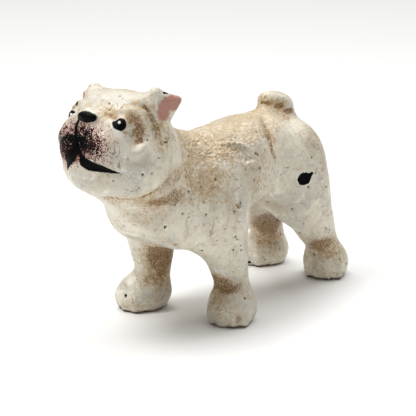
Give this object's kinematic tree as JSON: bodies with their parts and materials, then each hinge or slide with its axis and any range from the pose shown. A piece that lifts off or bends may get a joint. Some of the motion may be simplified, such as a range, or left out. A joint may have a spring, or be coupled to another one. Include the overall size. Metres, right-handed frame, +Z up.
{
  "type": "dog figurine",
  "caption": "Standing bulldog figurine with raised head and screw tail, painted cream, made as hollow iron half castings screwed together.",
  "frame": {"origin": "on the ground under the middle of the figure, with the parting plane of the two castings at X = 0", "axes": "+Z up, the dog's nose towards -Y, the dog's left towards +X"},
  "size_m": [0.0521, 0.1329, 0.0861],
  "materials": {
    "cream_paint_on_iron": "satin",
    "screw_steel": "matte"
  },
  "bodies": {
    "root": {"left_casting": "cream_paint_on_iron", "right_casting": "cream_paint_on_iron", "shoulder_screw": "screw_steel", "haunch_screw": "screw_steel"}
  },
  "joints": []
}
